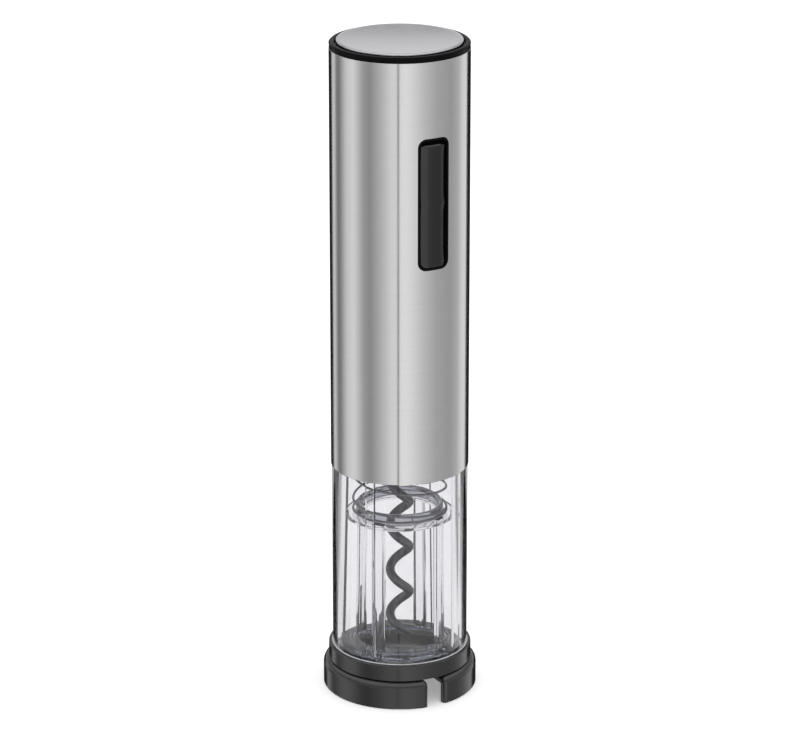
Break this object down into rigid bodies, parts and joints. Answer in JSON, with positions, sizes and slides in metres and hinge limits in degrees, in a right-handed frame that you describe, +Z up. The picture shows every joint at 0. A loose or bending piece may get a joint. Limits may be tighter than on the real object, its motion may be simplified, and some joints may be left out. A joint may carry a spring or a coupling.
{
  "type": "electric wine opener",
  "caption": "Cordless electric corkscrew: brushed steel handle with a long rocker button, clear lower tube with sliding cork guide and worm, standing in a round foil cutter.",
  "frame": {"origin": "centre of the underside of the foil-cutter base, on the body's axis", "axes": "+Z up along the body's axis; -Y towards the button; +X to the right seen from the button's side"},
  "size_m": [0.054, 0.0532, 0.2343],
  "materials": {
    "black_plastic": "satin moulded",
    "gloss_black": "polished",
    "clear_plastic": "clear polished",
    "smoked_plastic": "tinted polished",
    "sleeve_steel": "brushed round the body",
    "disc_steel": "turned",
    "coated_steel": "grey non-stick coating",
    "bright_steel": "ground",
    "spring_steel": "drawn wire",
    "plated_steel": "zinc plated",
    "housing_plastic": "moulded",
    "gear_plastic": "natural acetal",
    "gear_steel": "sintered",
    "bronze": "sintered bronze",
    "brass": "machined",
    "motor_can": "zinc plated",
    "ferrite": "sintered ferrite",
    "windings": "laminations with enamelled copper",
    "white_plastic": "moulded",
    "lead_insulation": "soft insulation",
    "board": "solder mask",
    "silicone": "matt silicone",
    "cell_jacket": "printed jacket, no text"
  },
  "bodies": {
    "base": {"cutter_cap": "black_plastic", "jaw_guide_screws": "plated_steel"},
    "jaw_right_body": {"jaw_right": "black_plastic", "jaw_cover_right": "black_plastic", "wheel_pins_right": "bright_steel", "jaw_spring_right": "spring_steel"},
    "jaw_left_body": {"jaw_left": "black_plastic", "jaw_cover_left": "black_plastic", "wheel_pins_left": "bright_steel", "jaw_spring_left": "spring_steel"},
    "wheel_right_front": {"cutter_wheel_right_front": "bright_steel"},
    "wheel_right_rear": {"cutter_wheel_right_rear": "bright_steel"},
    "wheel_left_front": {"cutter_wheel_left_front": "bright_steel"},
    "wheel_left_rear": {"cutter_wheel_left_rear": "bright_steel"},
    "handle": {"clear_tube": "clear_plastic", "steel_sleeve": "sleeve_steel", "housing_front": "housing_plastic", "housing_back": "housing_plastic", "m2_screws": "plated_steel", "guide_spring": "spring_steel", "output_bush": "bronze", "ring_gear_housing": "housing_plastic", "gearbox_end_plate": "housing_plastic", "motor_can": "motor_can", "motor_end_cap": "white_plastic", "motor_magnets": "ferrite", "motor_leads": "lead_insulation", "button_bezel": "gloss_black", "button_pad": "silicone", "circuit_board": "board", "switch_bodies": "black_plastic", "battery_cradle": "housing_plastic", "battery_cells": "cell_jacket", "cell_contacts": "plated_steel"},
    "cork_guide": {"cork_guide_frame": "clear_plastic", "cork_guide_collar": "smoked_plastic"},
    "worm_drive": {"worm": "coated_steel", "worm_hub": "bright_steel", "hub_grub_screw": "coated_steel", "output_carrier": "gear_steel"},
    "stage_2_drive": {"carrier_stage_2": "gear_steel"},
    "stage_1_drive": {"carrier_stage_1": "gear_plastic"},
    "motor_rotor": {"motor_shaft": "bright_steel", "motor_armature": "windings", "motor_pinion": "brass"},
    "button": {"rocker_button": "gloss_black"},
    "plunger_top": {"switch_plunger_top": "black_plastic"},
    "plunger_bottom": {"switch_plunger_bottom": "black_plastic"},
    "battery_cap": {"cap_base": "black_plastic", "top_disc": "disc_steel", "cap_contacts": "plated_steel"},
    "planet_1_a_body": {"planet_1_a": "gear_plastic"},
    "planet_1_b_body": {"planet_1_b": "gear_plastic"},
    "planet_1_c_body": {"planet_1_c": "gear_plastic"},
    "planet_2_a_body": {"planet_2_a": "gear_plastic"},
    "planet_2_b_body": {"planet_2_b": "gear_plastic"},
    "planet_2_c_body": {"planet_2_c": "gear_plastic"},
    "planet_3_a_body": {"planet_3_a": "gear_steel"},
    "planet_3_b_body": {"planet_3_b": "gear_steel"},
    "planet_3_c_body": {"planet_3_c": "gear_steel"}
  },
  "joints": [
    {"name": "lift_off_base", "type": "slide", "parent": "base", "child": "handle", "axis": [0, 0, 1], "range_m": [0, 0.06]},
    {"name": "squeeze_right", "type": "slide", "parent": "base", "child": "jaw_right_body", "axis": [-1, 0, 0], "range_m": [0, 0.002], "stiffness_N_per_m": 400, "springref_m": -0.003, "deforming": ["jaw_spring_right"]},
    {"name": "squeeze_left", "type": "slide", "parent": "base", "child": "jaw_left_body", "axis": [1, 0, 0], "range_m": [0, 0.002], "stiffness_N_per_m": 400, "springref_m": -0.003, "deforming": ["jaw_spring_left"]},
    {"name": "wheel_right_front_spin", "type": "hinge", "parent": "jaw_right_body", "child": "wheel_right_front", "pos_m": [0.0152, -0.0119, 0.0037], "axis": [0, 0, 1], "continuous": true},
    {"name": "wheel_right_rear_spin", "type": "hinge", "parent": "jaw_right_body", "child": "wheel_right_rear", "pos_m": [0.0152, 0.0119, 0.0037], "axis": [0, 0, 1], "continuous": true},
    {"name": "wheel_left_front_spin", "type": "hinge", "parent": "jaw_left_body", "child": "wheel_left_front", "pos_m": [-0.0152, -0.0119, 0.0037], "axis": [0, 0, 1], "continuous": true},
    {"name": "wheel_left_rear_spin", "type": "hinge", "parent": "jaw_left_body", "child": "wheel_left_rear", "pos_m": [-0.0152, 0.0119, 0.0037], "axis": [0, 0, 1], "continuous": true},
    {"name": "cork_guide_slide", "type": "slide", "parent": "handle", "child": "cork_guide", "axis": [0, 0, 1], "range_m": [0, 0.04], "stiffness_N_per_m": 60, "springref_m": -0.01, "deforming": ["guide_spring"]},
    {"name": "worm_spin", "type": "hinge", "parent": "handle", "child": "worm_drive", "pos_m": [0, 0, 0.11], "axis": [0, 0, 1], "continuous": true},
    {"name": "stage_2_spin", "type": "hinge", "parent": "handle", "child": "stage_2_drive", "pos_m": [0, 0, 0.128], "axis": [0, 0, 1], "continuous": true},
    {"name": "stage_1_spin", "type": "hinge", "parent": "handle", "child": "stage_1_drive", "pos_m": [0, 0, 0.135], "axis": [0, 0, 1], "continuous": true},
    {"name": "rotor_spin", "type": "hinge", "parent": "handle", "child": "motor_rotor", "pos_m": [0, 0, 0.155], "axis": [0, 0, 1], "continuous": true},
    {"name": "planet_3_a_spin", "type": "hinge", "parent": "worm_drive", "child": "planet_3_a_body", "pos_m": [0.009, 0, 0.1238], "axis": [0, 0, 1], "continuous": true},
    {"name": "planet_3_b_spin", "type": "hinge", "parent": "worm_drive", "child": "planet_3_b_body", "pos_m": [-0.0045, 0.00779, 0.1238], "axis": [0, 0, 1], "continuous": true},
    {"name": "planet_3_c_spin", "type": "hinge", "parent": "worm_drive", "child": "planet_3_c_body", "pos_m": [-0.0045, -0.00779, 0.1238], "axis": [0, 0, 1], "continuous": true},
    {"name": "planet_2_a_spin", "type": "hinge", "parent": "stage_2_drive", "child": "planet_2_a_body", "pos_m": [0.009, 0, 0.1317], "axis": [0, 0, 1], "continuous": true},
    {"name": "planet_2_b_spin", "type": "hinge", "parent": "stage_2_drive", "child": "planet_2_b_body", "pos_m": [-0.0045, 0.00779, 0.1317], "axis": [0, 0, 1], "continuous": true},
    {"name": "planet_2_c_spin", "type": "hinge", "parent": "stage_2_drive", "child": "planet_2_c_body", "pos_m": [-0.0045, -0.00779, 0.1317], "axis": [0, 0, 1], "continuous": true},
    {"name": "planet_1_a_spin", "type": "hinge", "parent": "stage_1_drive", "child": "planet_1_a_body", "pos_m": [0.009, 0, 0.1386], "axis": [0, 0, 1], "continuous": true},
    {"name": "planet_1_b_spin", "type": "hinge", "parent": "stage_1_drive", "child": "planet_1_b_body", "pos_m": [-0.0045, 0.00779, 0.1386], "axis": [0, 0, 1], "continuous": true},
    {"name": "planet_1_c_spin", "type": "hinge", "parent": "stage_1_drive", "child": "planet_1_c_body", "pos_m": [-0.0045, -0.00779, 0.1386], "axis": [0, 0, 1], "continuous": true},
    {"name": "rocker_tilt", "type": "hinge", "parent": "handle", "child": "button", "pos_m": [0, -0.0219, 0.1823], "axis": [1, 0, 0], "range_deg": [-3, 3], "stiffness_Nm_per_rad": 0.1, "deforming": ["button_pad"]},
    {"name": "plunger_top_push", "type": "slide", "parent": "handle", "child": "plunger_top", "axis": [0, 1, 0], "range_m": [0, 0.00025], "stiffness_N_per_m": 300, "springref_m": -0.0005},
    {"name": "plunger_bottom_push", "type": "slide", "parent": "handle", "child": "plunger_bottom", "axis": [0, 1, 0], "range_m": [0, 0.00025], "stiffness_N_per_m": 300, "springref_m": -0.0005},
    {"name": "battery_cap_lift", "type": "slide", "parent": "handle", "child": "battery_cap", "axis": [0, 0, 1], "range_m": [0, 0.03]}
  ],
  "couplings": [
    {"joint": "stage_2_spin", "follows": "worm_spin", "ratio": 6},
    {"joint": "stage_1_spin", "follows": "worm_spin", "ratio": 36},
    {"joint": "rotor_spin", "follows": "worm_spin", "ratio": 216},
    {"joint": "planet_3_a_spin", "follows": "worm_spin", "ratio": -2.5},
    {"joint": "planet_3_b_spin", "follows": "worm_spin", "ratio": -2.5},
    {"joint": "planet_3_c_spin", "follows": "worm_spin", "ratio": -2.5},
    {"joint": "planet_2_a_spin", "follows": "worm_spin", "ratio": -15},
    {"joint": "planet_2_b_spin", "follows": "worm_spin", "ratio": -15},
    {"joint": "planet_2_c_spin", "follows": "worm_spin", "ratio": -15},
    {"joint": "planet_1_a_spin", "follows": "worm_spin", "ratio": -90},
    {"joint": "planet_1_b_spin", "follows": "worm_spin", "ratio": -90},
    {"joint": "planet_1_c_spin", "follows": "worm_spin", "ratio": -90}
  ]
}
